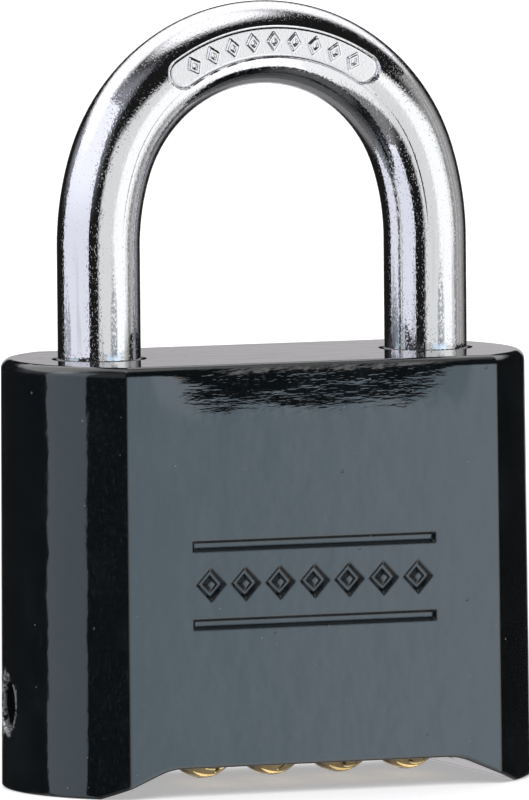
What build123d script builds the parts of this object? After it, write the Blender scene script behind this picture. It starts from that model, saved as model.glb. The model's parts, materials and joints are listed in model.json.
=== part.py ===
from build123d import *
import os
from math import cos, radians, sin, sqrt, tan

# Four-dial combination padlock: a one-piece cast case about 51 mm wide, a hardened 8 mm shackle
# and four brass number dials on a spindle under the case.
# Frame: X across the front, Y from the front face to the back, Z up, origin on the ground
# below the middle of the case. All sizes are in millimetres.

os.makedirs("parts", exist_ok=True)

# ---- clearances and how far a cutter reaches past the face that it opens ----
past = 1.0
room = 0.5
gap = 0.2
fit = 0.05
pin_fit = 0.03
blind_end = 0.1

# ---- case ----
case_height = 40.9
case_width = 51.9
case_depth = 26.95
case_flat_width = 37.7
draft_angle = 0.42
top_edge_radius = 1.0
upright_edge_radius = 0.7
low_edge_radius = 0.35

# hollow under the case, between the two skirts that it stands on
scoop_height = 2.72
scoop_half_width = 21.0
scoop_slope = 23.0
scoop_blend = 6.0

# two grooves with a row of recessed lozenges between them, on the front
groove_length = 24.8
groove_width = 1.15
groove_heights = (16.4, 23.82)
recess_depth = 0.4
recess_slope = 38.0
lozenge_count = 7
lozenge_pitch = 3.5
lozenge_height = 3.5
lozenge_width = 3.2
lozenge_island = 0.42
lozenge_level = 20.15

# ---- shackle ----
shackle_diameter = 7.94
leg_x = 16.67
arch_start = 51.5
arch_top_radius = 16.2
arch_side_radius = 25.8
shackle_lift = 13.5
toe_end = 27.9
toe_chamfer = 0.8
heel_end = 14.3
leg_hole_radius = 4.2
leg_hole_chamfer = 0.35
toe_hole_floor = 27.2
heel_hole_floor = 13.5
neck_radius = 2.9
neck_bottom = 17.5
neck_top = 34.0
spring_hole_radius = 2.0
spring_hole_top = 24.0
notch_depth = 1.5
notch_bottom = 33.0
notch_top = 36.5
notch_ramp = 4.6

# stamped panel on the front of the arch, with a row of small lozenges
panel_radius = 16.4
panel_half_angle = 34.0
panel_end_space = 0.2
panel_width = 3.2
panel_depth = 0.42
panel_lozenges = 9
panel_lozenge_width = 1.15
panel_lozenge_height = 1.725
panel_lozenge_rise = 0.2

# ---- dials and hubs ----
dial_count = 4
dial_pitch = 6.95
first_dial_x = -6.8
dial_axis_z = 8.2
dial_width = 4.6
dial_radius = 7.75
dial_edge_radius = 6.5
dial_bore = 2.95
digits = 10
rim_groove_radius = 7.15
rim_groove_half_width = 0.8
rim_groove_reach = 0.3
key_slot_radius = 3.45
key_slot_width = 0.7
key_radius = 3.35
key_width = 0.5
hub_radius = 2.9
hub_bore = 1.75
flange_radius = 4.2
flange_start = 0.84
flange_thickness = 0.6
hub_end = 2.25
gate_floor = 2.95
gate_width = 2.8
spindle_radius = 1.7
spindle_fit = 0.03
spindle_left = -12.3
spindle_right = 22.0
washer_thickness = 0.3
washer_radius = 3.2
washer_play = 0.1

# ---- dial chamber and window plate ----
chamber_radius = 8.05
comb_recess_y = 8.85
comb_recess_top = 13.2
saddle_left = -12.4
plate_left = -12.4
plate_right = 20.2
plate_half_depth = 11.8
plate_top = 3.82
plate_gap = 0.05
window_width = 5.0
window_half_depth = 7.0
lug_top = 6.4
lug_inset = 0.4
lug_half_width = 1.65
screw_places = ((-9.8, -10.2), (-9.8, 10.2), (12.6, -10.2), (12.6, 10.2))
screw_radius = 0.78
screw_head_radius = 1.35
screw_head_height = 0.75
screw_top = 8.8
screw_slot_width = 0.35
screw_slot_depth = 0.4
screw_fit = 0.03

# ---- detent springs behind the dials ----
leaf_thickness = 0.3
leaf_outer_y = 8.65
leaf_width = 2.4
leaf_top = 12.5
base_inner_y = 6.85
bump_radius = 0.9
bump_clearance = 0.12
comb_rivet_y = 7.7
comb_rivet_radius = 0.5
comb_rivet_head = 0.8
comb_rivet_head_height = 0.3

# ---- locking bar, its guide plate and the latch lever ----
guide_recess_bottom = 13.0
guide_bottom = 16.3
guide_top = 16.9
guide_half_depth = 4.2
guide_left = -9.2
guide_right = 18.7
guide_slot_play = 0.2
rivet_places = ((-7.4, -2.9), (-7.4, 2.9), (17.4, -2.9), (17.4, 2.9))
rivet_radius = 0.5
rivet_head_radius = 0.9
rivet_head_height = 0.25
rivet_top = 20.0
bar_left = -5.0
bar_right = 17.3
bar_bottom = 17.0
bar_top = 18.9
bar_half_depth = 1.4
bar_travel = 1.5
bar_slot_play = 0.12
bar_end_room = 0.4
bar_top_room = 0.15
tooth_start = 0.12
tooth_thickness = 0.6
tooth_half_depth = 1.1
tooth_tip_radius = 3.15
pivot_x = 9.0
pivot_z = 23.2
pivot_radius = 1.25
pivot_bore = 1.3
lever_half_depth = 1.4
lever_ball_half_depth = 0.8
lever_boss_radius = 2.4
lever_ball_radius = 0.8
lever_ball_drop = 5.2
lever_neck_width = 0.9
lever_ball_play = 0.15
arm_left = 0.4
arm_right = 2.5
nose_tip_x = 14.1
nose_bottom = 34.2
nose_top = 36.2
pocket_half_depth = 1.7
pocket_left = 5.2
pocket_foot_left = 6.2
pocket_right = 11.9
pocket_toe_x = 14.6
pocket_bottom = 19.0
pocket_shoulder = 33.0
pocket_shelf = 33.6
pocket_top = 37.7
spring_pocket_front = -3.6
pin_back_y = 13.1
pivot_front_y = -5.0

# ---- springs and retaining pins ----
shackle_spring_radius = 1.5
shackle_spring_wire = 0.25
shackle_spring_pitch = 1.55
seat_thickness = 0.5
seat_radius = 3.9
seat_hole = 1.0
heel_pin_radius = 1.25
heel_pin_gap = 0.1
heel_pin_front_y = -9.0
latch_spring_radius = 1.95
latch_spring_wire = 0.22
latch_spring_pitch = 0.5
latch_spring_turns = 3
latch_spring_leg = 1.5
latch_spring_gap = 0.3

# ---- reset cam in the left skirt ----
cam_y = 1.9
cam_radius = 2.0
cam_bore = 2.06
cam_mouth_radius = 2.45
cam_mouth_depth_x = -22.5
cam_rim = 0.5
cam_rim_x = -25.7
cam_head_x = -22.6
cam_tip_x = -12.45
cam_tip_tilt = 18.0
cam_slot_width = 0.9
cam_slot_depth = 1.3
cam_neck_radius = 1.4
cam_neck_left = -18.2
cam_neck_right = -16.8
cam_pin_x = -17.5
cam_pin_radius = 0.6
cam_pin_fit = 0.02
cam_pin_bottom = 1.75
cam_pin_top = 11.0


def block(x0, x1, y0, y1, z0, z1):
    """Rectangular block between two opposite corners."""
    centre = Pos((x0 + x1) / 2, (y0 + y1) / 2, (z0 + z1) / 2)
    return centre * Box(x1 - x0, y1 - y0, z1 - z0)


def rod_x(radius, x0, x1, y, z):
    """Round bar along X."""
    return Pos((x0 + x1) / 2, y, z) * Rot(0, 90, 0) * Cylinder(radius, x1 - x0)


def rod_y(radius, y0, y1, x, z):
    """Round bar along Y."""
    return Pos(x, (y0 + y1) / 2, z) * Rot(90, 0, 0) * Cylinder(radius, y1 - y0)


def rod_z(radius, z0, z1, x, y):
    """Round bar along Z."""
    return Pos(x, y, (z0 + z1) / 2) * Cylinder(radius, z1 - z0)


def prism_y(outline, y0, y1):
    """Flat outline in X and Z carried from y0 to y1."""
    return extrude(Plane.XZ.offset(-y1) * outline, amount=y1 - y0, dir=(0, -1, 0))


def lozenge(width, height):
    """Rhombus centred on the origin."""
    points = ((-width / 2, 0), (0, -height / 2), (width / 2, 0), (0, height / 2))
    return Polygon(*points, align=None)


def case_outline():
    """Flat front and back joined by one arc at each end, with the four creases eased."""
    x, y, flat = case_width / 2, case_depth / 2, case_flat_width / 2
    front = Line((-flat, -y), (flat, -y))
    right = ThreePointArc((flat, -y), (x, 0), (flat, y))
    back = Line((flat, y), (-flat, y))
    left = ThreePointArc((-flat, y), (-x, 0), (-flat, -y))
    outline = make_face([front, right, back, left])
    return fillet(outline.vertices(), upright_edge_radius)


def front_at(z):
    """Y of the drafted front face at a height."""
    return -case_depth / 2 + z * tan(radians(draft_angle))


def scoop():
    """Long hollow under the case: a flat ceiling that slopes down to the two skirts."""
    slope_run = scoop_height / tan(radians(scoop_slope))
    flat = scoop_half_width - slope_run
    outline = Polygon(
        (-scoop_half_width, 0),
        (-flat, scoop_height),
        (flat, scoop_height),
        (scoop_half_width, 0),
        (scoop_half_width, -past),
        (-scoop_half_width, -past),
        align=None,
    )
    ceiling_corners = outline.vertices().filter_by_position(Axis.Y, scoop_height / 2, scoop_height + past)
    outline = fillet(ceiling_corners, scoop_blend)
    return prism_y(outline, -case_depth, case_depth)


dial_x = [first_dial_x + dial_pitch * i for i in range(dial_count)]
gap_x = [x + dial_width / 2 for x in dial_x]
chamber_left = dial_x[0] - dial_width / 2 - washer_play - washer_thickness
chamber_right = gap_x[-1] + hub_end + washer_play + washer_thickness
heel_pin_x = -leg_x + neck_radius + heel_pin_radius + heel_pin_gap
heel_pin_z = neck_bottom + shackle_lift + heel_pin_radius
cam_pin_y = cam_y + cam_neck_radius + cam_pin_radius + fit
spring_seat_z = heel_hole_floor + seat_thickness


def recess(outline, x, z, depth, slope):
    """Shallow prism with sloping sides, from just outside the front face to a depth in it."""
    y = front_at(z) - fit
    front = Plane(origin=(x, y, z), x_dir=(1, 0, 0), z_dir=(0, 1, 0))
    return extrude(front * outline, amount=depth + fit, taper=slope)


def make_case_shell():
    """Outside of the casting with its rounded edges, scoop, grooves and lozenges."""
    shell = extrude(case_outline(), amount=case_height, taper=draft_angle)
    shell = fillet(shell.faces().sort_by(Axis.Z)[-1].edges(), top_edge_radius)
    shell -= scoop()
    low_edges = [e for e in shell.edges() if e.bounding_box().max.Z < scoop_height + gap]
    shell = fillet(low_edges, low_edge_radius)
    for height in groove_heights:
        groove = Rectangle(groove_length, groove_width)
        shell -= recess(groove, 0, height, recess_depth, recess_slope)
    outer = lozenge(lozenge_width, lozenge_height)
    island = lozenge(lozenge_island * lozenge_width / 2, lozenge_island * lozenge_height / 2)
    for i in range(lozenge_count):
        x = lozenge_pitch * (i - (lozenge_count - 1) / 2)
        hollow = recess(outer, x, lozenge_level, recess_depth, recess_slope)
        hollow -= recess(island, x, lozenge_level, recess_depth, -recess_slope)
        shell -= hollow
    return shell


def make_case():
    """Casting with its leg holes, dial chamber, bar slot, latch pocket and pin holes."""
    case = make_case_shell()
    for x, floor in ((-leg_x, heel_hole_floor), (leg_x, toe_hole_floor)):
        case -= rod_z(leg_hole_radius, floor, case_height + past, x, 0)
        mouth = Cone(leg_hole_radius, leg_hole_radius + leg_hole_chamfer, leg_hole_chamfer)
        case -= Pos(x, 0, case_height - leg_hole_chamfer / 2) * mouth

    # dial chamber, round over the dials and open underneath
    case -= rod_x(chamber_radius, chamber_left, chamber_right, 0, dial_axis_z)
    case -= block(chamber_left, chamber_right, -chamber_radius, chamber_radius, -past, dial_axis_z)
    case -= block(chamber_left, chamber_right, 0, comb_recess_y, -past, comb_recess_top)

    # saddle and blind hole for the spindle
    saddle = spindle_radius + spindle_fit
    case -= rod_x(saddle, saddle_left, spindle_right + blind_end, 0, dial_axis_z)
    case -= block(saddle_left, chamber_left, -saddle, saddle, -past, dial_axis_z)

    # ledge that the window plate lies against, with its screw holes
    case -= block(plate_left, plate_right, -plate_half_depth, plate_half_depth, -past, plate_top)
    for x, y in screw_places:
        case -= rod_z(screw_radius + screw_fit, -past, screw_top + 3 * blind_end, x, y)

    # recess for the guide plate and slot for the locking bar above it
    case -= block(guide_left, guide_right, -guide_half_depth, guide_half_depth,
                  guide_recess_bottom, guide_top)
    bar_room = bar_half_depth + bar_slot_play
    bar_end = bar_right + bar_travel + bar_end_room
    case -= block(bar_left - room, bar_end, -bar_room, bar_room, guide_top, bar_top + bar_top_room)
    for x, y in rivet_places:
        case -= rod_z(rivet_radius + screw_fit, guide_top - room, rivet_top, x, y)

    # latch pocket, open to the toe hole near its top
    pocket = Polygon(
        (pocket_left, pocket_top),
        (pocket_left, pocket_shoulder),
        (pocket_foot_left, pocket_bottom),
        (pocket_right, pocket_bottom),
        (pocket_right, pocket_shelf),
        (pocket_toe_x, pocket_shelf),
        (pocket_toe_x, pocket_top),
        align=None,
    )
    case -= prism_y(pocket, -pocket_half_depth, pocket_half_depth)
    case -= rod_y(lever_boss_radius + room, spring_pocket_front, 0, pivot_x, pivot_z)

    # pin holes drilled from the back
    back = case_depth
    case -= rod_y(pivot_radius + pin_fit, pivot_front_y, back, pivot_x, pivot_z)
    case -= rod_y(heel_pin_radius + pin_fit, heel_pin_front_y, back, heel_pin_x, heel_pin_z)

    # reset hole in the left end, its wider mouth and the pin that keeps the cam in
    case -= rod_x(cam_bore, -case_width, saddle_left + blind_end, cam_y, dial_axis_z)
    case -= rod_x(cam_mouth_radius, -case_width, cam_mouth_depth_x, cam_y, dial_axis_z)
    rim = Cone(cam_mouth_radius + cam_rim, cam_mouth_radius, cam_rim)
    case -= Pos(cam_rim_x, cam_y, dial_axis_z) * Rot(0, 90, 0) * rim
    case -= rod_z(cam_pin_radius + cam_pin_fit, -past, cam_pin_top, cam_pin_x, cam_pin_y)
    return case


def make_shackle():
    """Round bar bent to a three-centred arch, with a long heel and a short notched toe."""
    radius = shackle_diameter / 2
    side_centre_x = arch_side_radius - leg_x
    centre_gap = arch_side_radius - arch_top_radius
    rise = sqrt(centre_gap**2 - side_centre_x**2)
    top_centre_z = arch_start + rise
    lean = (side_centre_x / centre_gap, rise / centre_gap)
    joint_x = arch_side_radius * lean[0] - side_centre_x
    joint_z = arch_start + arch_side_radius * lean[1]

    heel = Line((-leg_x, 0, heel_end), (-leg_x, 0, arch_start))
    left = TangentArc((-leg_x, 0, arch_start), (-joint_x, 0, joint_z), tangent=(0, 0, 1))
    crown = ThreePointArc(
        (-joint_x, 0, joint_z), (0, 0, top_centre_z + arch_top_radius), (joint_x, 0, joint_z)
    )
    right = TangentArc((leg_x, 0, arch_start), (joint_x, 0, joint_z), tangent=(0, 0, 1))
    toe = Line((leg_x, 0, arch_start), (leg_x, 0, toe_end))
    path = Wire([heel, left, crown, right, toe])
    bar = sweep(Pos(-leg_x, 0, heel_end) * Circle(radius), path=path)

    # turned neck of the heel, and the blind hole for its spring
    sleeve = rod_z(radius + past, neck_bottom, neck_top, -leg_x, 0)
    bar -= sleeve - rod_z(neck_radius, neck_bottom, neck_top, -leg_x, 0)
    bar -= rod_z(spring_hole_radius, heel_end - past, spring_hole_top, -leg_x, 0)

    # chamfered toe with the notch that the latch drops into
    tip = rod_z(radius + past, toe_end - past, toe_end + toe_chamfer, leg_x, 0)
    cone = Cone(radius - toe_chamfer, radius, toe_chamfer)
    tip -= Pos(leg_x, 0, toe_end + toe_chamfer / 2) * cone
    bar -= tip
    inner = leg_x - radius
    notch = Polygon(
        (inner - past, notch_top),
        (inner + notch_depth, notch_top),
        (inner + notch_depth, notch_bottom),
        (inner, notch_bottom - notch_ramp),
        (inner - past, notch_bottom - notch_ramp),
        align=None,
    )
    bar -= prism_y(notch, -radius, radius)

    # stamped panel on the arch
    start = 90 - panel_half_angle
    arc = CenterArc((0, top_centre_z), panel_radius, start, 2 * panel_half_angle)
    panel = SlotArc(arc, panel_width)
    panel_y = -(radius - panel_depth)
    bar -= prism_y(panel, -radius - past, panel_y)
    step = 2 * panel_half_angle / (panel_lozenges + panel_end_space)
    for i in range(panel_lozenges):
        lean_over = step * (i - (panel_lozenges - 1) / 2)
        angle = radians(90 + lean_over)
        x = panel_radius * cos(angle)
        z = top_centre_z + panel_radius * sin(angle)
        stud = Pos(x, z) * Rot(0, 0, lean_over) * lozenge(panel_lozenge_width, panel_lozenge_height)
        bar += prism_y(stud, panel_y - panel_lozenge_rise, panel_y + gap)
    return bar


def make_dial():
    """Number dial with a crowned rim, grooves between the numbers and key slots in its bore."""
    half = dial_width / 2
    profile = make_face([
        Line((-half, 0, dial_bore), (-half, 0, dial_edge_radius)),
        ThreePointArc((-half, 0, dial_edge_radius), (0, 0, dial_radius), (half, 0, dial_edge_radius)),
        Line((half, 0, dial_edge_radius), (half, 0, dial_bore)),
        Line((half, 0, dial_bore), (-half, 0, dial_bore)),
    ])
    dial = revolve(profile, axis=Axis.X)
    mouth = dial_radius + rim_groove_reach
    wedge = Polygon(
        (0, -rim_groove_radius),
        (-rim_groove_half_width, -mouth),
        (rim_groove_half_width, -mouth),
        align=None,
    )
    wedge = extrude(Plane.YZ * wedge, amount=dial_width, both=True)
    slot = block(-half - past, half + past, -key_slot_width / 2, key_slot_width / 2, 0, key_slot_radius)
    for i in range(digits):
        turn = 360 / digits * i
        dial -= Rot(turn + 180 / digits, 0, 0) * wedge
        dial -= Rot(turn, 0, 0) * slot
    return dial


def make_hub():
    """Keyed sleeve inside a dial; the flange beside the dial has one gate, on top."""
    half = dial_width / 2
    hub = rod_x(hub_radius, -half, half + hub_end, 0, 0)
    start = half + flange_start
    hub += rod_x(flange_radius, start, start + flange_thickness, 0, 0)
    hub += block(-half + gap, half - gap, -key_width / 2, key_width / 2, -key_radius, key_radius)
    hub -= rod_x(hub_bore, -half - past, half + hub_end + past, 0, 0)
    gate = block(start - fit, start + flange_thickness + fit, -gate_width / 2, gate_width / 2,
                 gate_floor, flange_radius + past)
    return hub - gate


def make_washer(x0):
    """Thrust washer on the spindle."""
    washer = rod_x(washer_radius, x0, x0 + washer_thickness, 0, dial_axis_z)
    return washer - rod_x(hub_bore, x0 - past, x0 + past, 0, dial_axis_z)


def make_window_plate():
    """Plate under the dials: four windows, spindle lug, screw and rivet holes."""
    x0, x1 = plate_left + plate_gap, plate_right - plate_gap
    y1 = plate_half_depth - plate_gap
    plate = block(x0, x1, -y1, y1, 0, plate_top)
    plate -= scoop()
    for x in dial_x:
        half = window_width / 2
        plate -= block(x - half, x + half, -window_half_depth, window_half_depth, -past,
                       plate_top + past)
    plate += block(saddle_left + lug_inset, chamber_left - washer_play, -lug_half_width,
                   lug_half_width, plate_top - leaf_thickness, lug_top)
    for x, y in screw_places:
        plate -= rod_z(screw_radius + screw_fit, 0, plate_top + past, x, y)
        sink = Cone(screw_head_radius, screw_radius, screw_head_height)
        plate -= Pos(x, y, scoop_height + screw_head_height / 2) * sink
    for x in comb_rivet_x:
        plate -= rod_z(comb_rivet_radius, 0, plate_top + past, x, comb_rivet_y)
    return plate


def make_screw(x, y):
    """Small countersunk screw with a straight slot."""
    height = screw_head_height - screw_fit
    head = Cone(screw_head_radius - 2 * screw_fit, screw_radius, height)
    screw = Pos(x, y, scoop_height + height / 2) * head
    screw += rod_z(screw_radius, scoop_height + height, screw_top, x, y)
    half = screw_slot_width / 2
    return screw - block(x - screw_head_radius, x + screw_head_radius, y - half, y + half, 0,
                         scoop_height + screw_slot_depth)


def make_comb():
    """Bent spring leaf: a base strip with one finger and bump behind each dial."""
    comb = block(chamber_left + gap, gap_x[-1], base_inner_y, leaf_outer_y,
                 plate_top, plate_top + leaf_thickness)
    bump_y = dial_radius + bump_clearance + bump_radius
    for x in dial_x:
        x0, x1 = x - leaf_width / 2, x + leaf_width / 2
        comb += block(x0, x1, leaf_outer_y - leaf_thickness, leaf_outer_y, plate_top, leaf_top)
        bump = rod_x(bump_radius, x0, x1, bump_y, dial_axis_z)
        comb += bump & block(x0, x1, 0, leaf_outer_y, 0, leaf_top)
    for x in comb_rivet_x:
        comb -= rod_z(comb_rivet_radius, plate_top - past, plate_top + past, x, comb_rivet_y)
    return comb


def make_comb_rivet(x):
    """Rivet through the window plate and the comb."""
    top = plate_top + leaf_thickness
    rivet = rod_z(comb_rivet_radius, scoop_height, top, x, comb_rivet_y)
    return rivet + rod_z(comb_rivet_head, top, top + comb_rivet_head_height, x, comb_rivet_y)


def make_guide_plate():
    """Thin plate that carries the locking bar; one slot for each of its teeth."""
    plate = block(guide_left + fit, guide_right - fit, -guide_half_depth + fit,
                  guide_half_depth - fit, guide_bottom, guide_top)
    slot_half = tooth_half_depth + guide_slot_play
    for x in gap_x:
        x0 = x + tooth_start - guide_slot_play
        x1 = x + tooth_start + tooth_thickness + bar_travel + guide_slot_play
        plate -= block(x0, x1, -slot_half, slot_half, guide_bottom - past, guide_top + past)
    for x, y in rivet_places:
        plate -= rod_z(rivet_radius, guide_bottom - past, guide_top + past, x, y)
    return plate


def make_guide_rivet(x, y):
    """Round-headed rivet that holds the guide plate to the case."""
    rivet = rod_z(rivet_radius, guide_bottom, rivet_top - blind_end, x, y)
    return rivet + rod_z(rivet_head_radius, guide_bottom - rivet_head_height, guide_bottom, x, y)


def make_locking_bar():
    """Sliding bar whose four teeth pass through the gates of the hubs."""
    bar = block(bar_left, bar_right, -bar_half_depth, bar_half_depth, bar_bottom, bar_top)
    tip = dial_axis_z + tooth_tip_radius
    for x in gap_x:
        x0 = x + tooth_start
        bar += block(x0, x0 + tooth_thickness, -tooth_half_depth, tooth_half_depth, tip, bar_top)
    half = lever_ball_radius + lever_ball_play
    depth = lever_ball_half_depth + lever_ball_play
    return bar - block(pivot_x - half, pivot_x + half, -depth, depth, bar_bottom - past, bar_top + past)


def make_latch_lever():
    """Lever on a cross pin: its nose holds the toe, its lower ball moves the locking bar."""
    arm = Polygon(
        (pivot_x + lever_boss_radius, pivot_z),
        (pivot_x + arm_right, nose_bottom),
        (nose_tip_x - room, nose_bottom),
        (nose_tip_x, nose_bottom + room),
        (nose_tip_x, nose_top),
        (pivot_x + arm_left, nose_top),
        (pivot_x - lever_boss_radius, pivot_z),
        align=None,
    )
    arm += Pos(pivot_x, pivot_z) * Circle(lever_boss_radius)
    ball_z = pivot_z - lever_ball_drop
    neck = Pos(pivot_x, (pivot_z + ball_z) / 2) * Rectangle(lever_neck_width, lever_ball_drop)
    neck += Pos(pivot_x, ball_z) * Circle(lever_ball_radius)
    lever = prism_y(arm, -lever_half_depth, lever_half_depth)
    lever += prism_y(neck, -lever_ball_half_depth, lever_ball_half_depth)
    return lever - rod_y(pivot_bore, -lever_half_depth - past, lever_half_depth + past, pivot_x, pivot_z)


def make_coil(radius, wire, pitch, height, leg=0.0):
    """Round wire wound into a helix up the Z axis, with a straight leg at each end if asked."""
    path = Helix(pitch=pitch, height=height, radius=radius)
    if leg:
        first = Line(path @ 0 - (path % 0) * leg, path @ 0)
        last = Line(path @ 1, path @ 1 + (path % 1) * leg)
        path = Wire([first, path, last])
    section = Plane(origin=path @ 0, z_dir=path % 0) * Circle(wire)
    return sweep(section, path=path)


def make_latch_spring():
    """Small torsion spring on the pivot pin, beside the lever."""
    height = latch_spring_pitch * latch_spring_turns
    coil = make_coil(latch_spring_radius, latch_spring_wire, latch_spring_pitch, height,
                     latch_spring_leg)
    upright = Rot(90, 0, 0) * Rot(0, 0, 180)
    return Pos(pivot_x, -lever_half_depth - latch_spring_gap, pivot_z) * upright * coil


def make_reset_cam():
    """Slotted plug whose slanted inner face lies against the end of the spindle."""
    cam = rod_x(cam_radius, cam_head_x, cam_tip_x, cam_y, dial_axis_z)
    neck = rod_x(cam_radius + past, cam_neck_left, cam_neck_right, cam_y, dial_axis_z)
    cam -= neck - rod_x(cam_neck_radius, cam_neck_left, cam_neck_right, cam_y, dial_axis_z)
    half = cam_slot_width / 2
    cam -= block(cam_head_x - past, cam_head_x + cam_slot_depth, cam_y - half, cam_y + half, 0,
                 2 * dial_axis_z)
    ramp = Pos(cam_tip_x, cam_y, dial_axis_z + cam_radius) * Rot(0, cam_tip_tilt, 0)
    size = 5 * cam_radius
    return cam - ramp * Pos(size / 2, 0, -size / 2) * Box(size, size, 2 * size)


def make_cam_pin():
    """Pin beside the neck of the reset cam."""
    return rod_z(cam_pin_radius, cam_pin_bottom, cam_pin_top - gap, cam_pin_x, cam_pin_y)


def make_spring_seat():
    """Washer on the floor of the heel hole."""
    seat = rod_z(seat_radius, heel_hole_floor, spring_seat_z, -leg_x, 0)
    return seat - rod_z(seat_hole, 0, spring_seat_z + past, -leg_x, 0)


def make_shackle_spring():
    """Compression spring between the seat and the end of the hole in the heel."""
    height = spring_hole_top - spring_seat_z - 2 * shackle_spring_wire
    coil = make_coil(shackle_spring_radius, shackle_spring_wire, shackle_spring_pitch, height)
    return Pos(-leg_x, 0, spring_seat_z + shackle_spring_wire) * coil


comb_rivet_x = [(dial_x[0] + dial_x[1]) / 2, (dial_x[2] + dial_x[3]) / 2]

nodes = {
    "lock_case": make_case(),
    "shackle": make_shackle(),
    "shackle_spring": make_shackle_spring(),
    "spring_seat_washer": make_spring_seat(),
    "heel_retaining_pin": rod_y(heel_pin_radius, heel_pin_front_y + blind_end, pin_back_y,
                                heel_pin_x, heel_pin_z),
    "latch_lever": make_latch_lever(),
    "latch_pivot_pin": rod_y(pivot_radius, pivot_front_y + blind_end, pin_back_y, pivot_x, pivot_z),
    "latch_spring": make_latch_spring(),
    "locking_bar": make_locking_bar(),
    "bar_guide_plate": make_guide_plate(),
    "guide_plate_rivets": Compound([make_guide_rivet(x, y) for x, y in rivet_places]),
    "dial_spindle": rod_x(spindle_radius, spindle_left, spindle_right, 0, dial_axis_z),
    "thrust_washers": Compound([
        make_washer(chamber_left),
        make_washer(chamber_right - washer_thickness),
    ]),
    "dial_window_plate": make_window_plate(),
    "plate_screws": Compound([make_screw(x, y) for x, y in screw_places]),
    "detent_spring_comb": make_comb(),
    "comb_rivets": Compound([make_comb_rivet(x) for x in comb_rivet_x]),
    "reset_cam": make_reset_cam(),
    "reset_cam_pin": make_cam_pin(),
}
dial = make_dial()
hub = make_hub()
for number, x in enumerate(dial_x, start=1):
    nodes[f"dial_{number}"] = Pos(x, 0, dial_axis_z) * dial
    nodes[f"hub_{number}"] = Pos(x, 0, dial_axis_z) * hub

for name, shape in nodes.items():
    export_step(shape, f"parts/{name}.step")
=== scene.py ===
import json
from math import atan2, cos, hypot, pi, radians, sin, sqrt, tan

import bmesh
import bpy
import numpy as np
from mathutils import Matrix, Vector

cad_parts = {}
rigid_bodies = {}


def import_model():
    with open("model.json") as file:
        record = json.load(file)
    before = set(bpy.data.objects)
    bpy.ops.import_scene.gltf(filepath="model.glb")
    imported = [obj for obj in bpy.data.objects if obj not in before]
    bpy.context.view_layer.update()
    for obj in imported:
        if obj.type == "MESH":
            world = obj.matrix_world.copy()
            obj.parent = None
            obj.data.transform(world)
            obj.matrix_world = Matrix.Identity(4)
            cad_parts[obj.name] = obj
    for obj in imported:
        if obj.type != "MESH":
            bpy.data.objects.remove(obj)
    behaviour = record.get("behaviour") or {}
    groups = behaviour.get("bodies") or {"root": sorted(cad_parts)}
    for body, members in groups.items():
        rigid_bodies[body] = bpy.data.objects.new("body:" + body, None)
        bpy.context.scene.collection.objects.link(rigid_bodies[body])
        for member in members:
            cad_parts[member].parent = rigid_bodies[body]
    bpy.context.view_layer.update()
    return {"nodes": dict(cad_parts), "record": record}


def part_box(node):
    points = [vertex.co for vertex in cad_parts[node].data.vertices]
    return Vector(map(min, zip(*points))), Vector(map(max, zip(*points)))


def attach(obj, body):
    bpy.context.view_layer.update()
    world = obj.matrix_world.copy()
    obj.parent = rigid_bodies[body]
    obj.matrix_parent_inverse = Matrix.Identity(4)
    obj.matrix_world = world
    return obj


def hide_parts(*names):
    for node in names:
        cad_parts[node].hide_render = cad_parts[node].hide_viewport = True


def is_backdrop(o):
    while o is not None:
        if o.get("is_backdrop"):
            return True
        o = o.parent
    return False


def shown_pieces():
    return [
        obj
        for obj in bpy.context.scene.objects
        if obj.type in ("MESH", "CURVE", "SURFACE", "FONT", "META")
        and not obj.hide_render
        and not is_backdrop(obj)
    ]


bl_info = {
    "name": "Combination padlock",
    "version": (1, 0, 0),
    "blender": (4, 5, 0),
    "location": "3D View > Sidebar > Padlock",
    "description": "Finishes the four-dial padlock: enamelled case, chromed shackle, brass dials",
    "category": "Object",
}

# the start-up scene is emptied, so that only the padlock and its stage are shown
for leftover in list(bpy.data.objects):
    bpy.data.objects.remove(leftover)

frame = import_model()

mm = 0.001
case_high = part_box("lock_case")[1]
bar_low, bar_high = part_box("shackle")
dial_count = 4
dial_boxes = [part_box(f"dial_{number}") for number in range(1, dial_count + 1)]
bar_radius = (bar_high.y - bar_low.y) / 2
leg_x = bar_high.x - bar_radius

# sizes that have to match the working parts, in the frame's own metres
toe_end, toe_chamfer = 27.9 * mm, 0.8 * mm
neck_bottom, neck_top, neck_radius = 17.5 * mm, 34 * mm, 2.9 * mm
spring_hole_top, spring_hole_radius = 24 * mm, 2.0 * mm
notch_foot, notch_bottom, notch_top, notch_depth = 28.4 * mm, 33 * mm, 36.5 * mm, 1.5 * mm
digits = 10
rim_radius, rim_edge_radius, dial_bore = 7.75 * mm, 6.5 * mm, 2.95 * mm
rim_groove_radius, rim_groove_slope = 7.15 * mm, 0.8 / 0.9
key_slot_radius, key_slot_half_width = 3.45 * mm, 0.35 * mm
reset_hole_y, reset_hole_z, reset_hole_radius = 1.9 * mm, 8.2 * mm, 2.45 * mm


# ---------------------------------------------------------------- what a user would change


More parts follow.
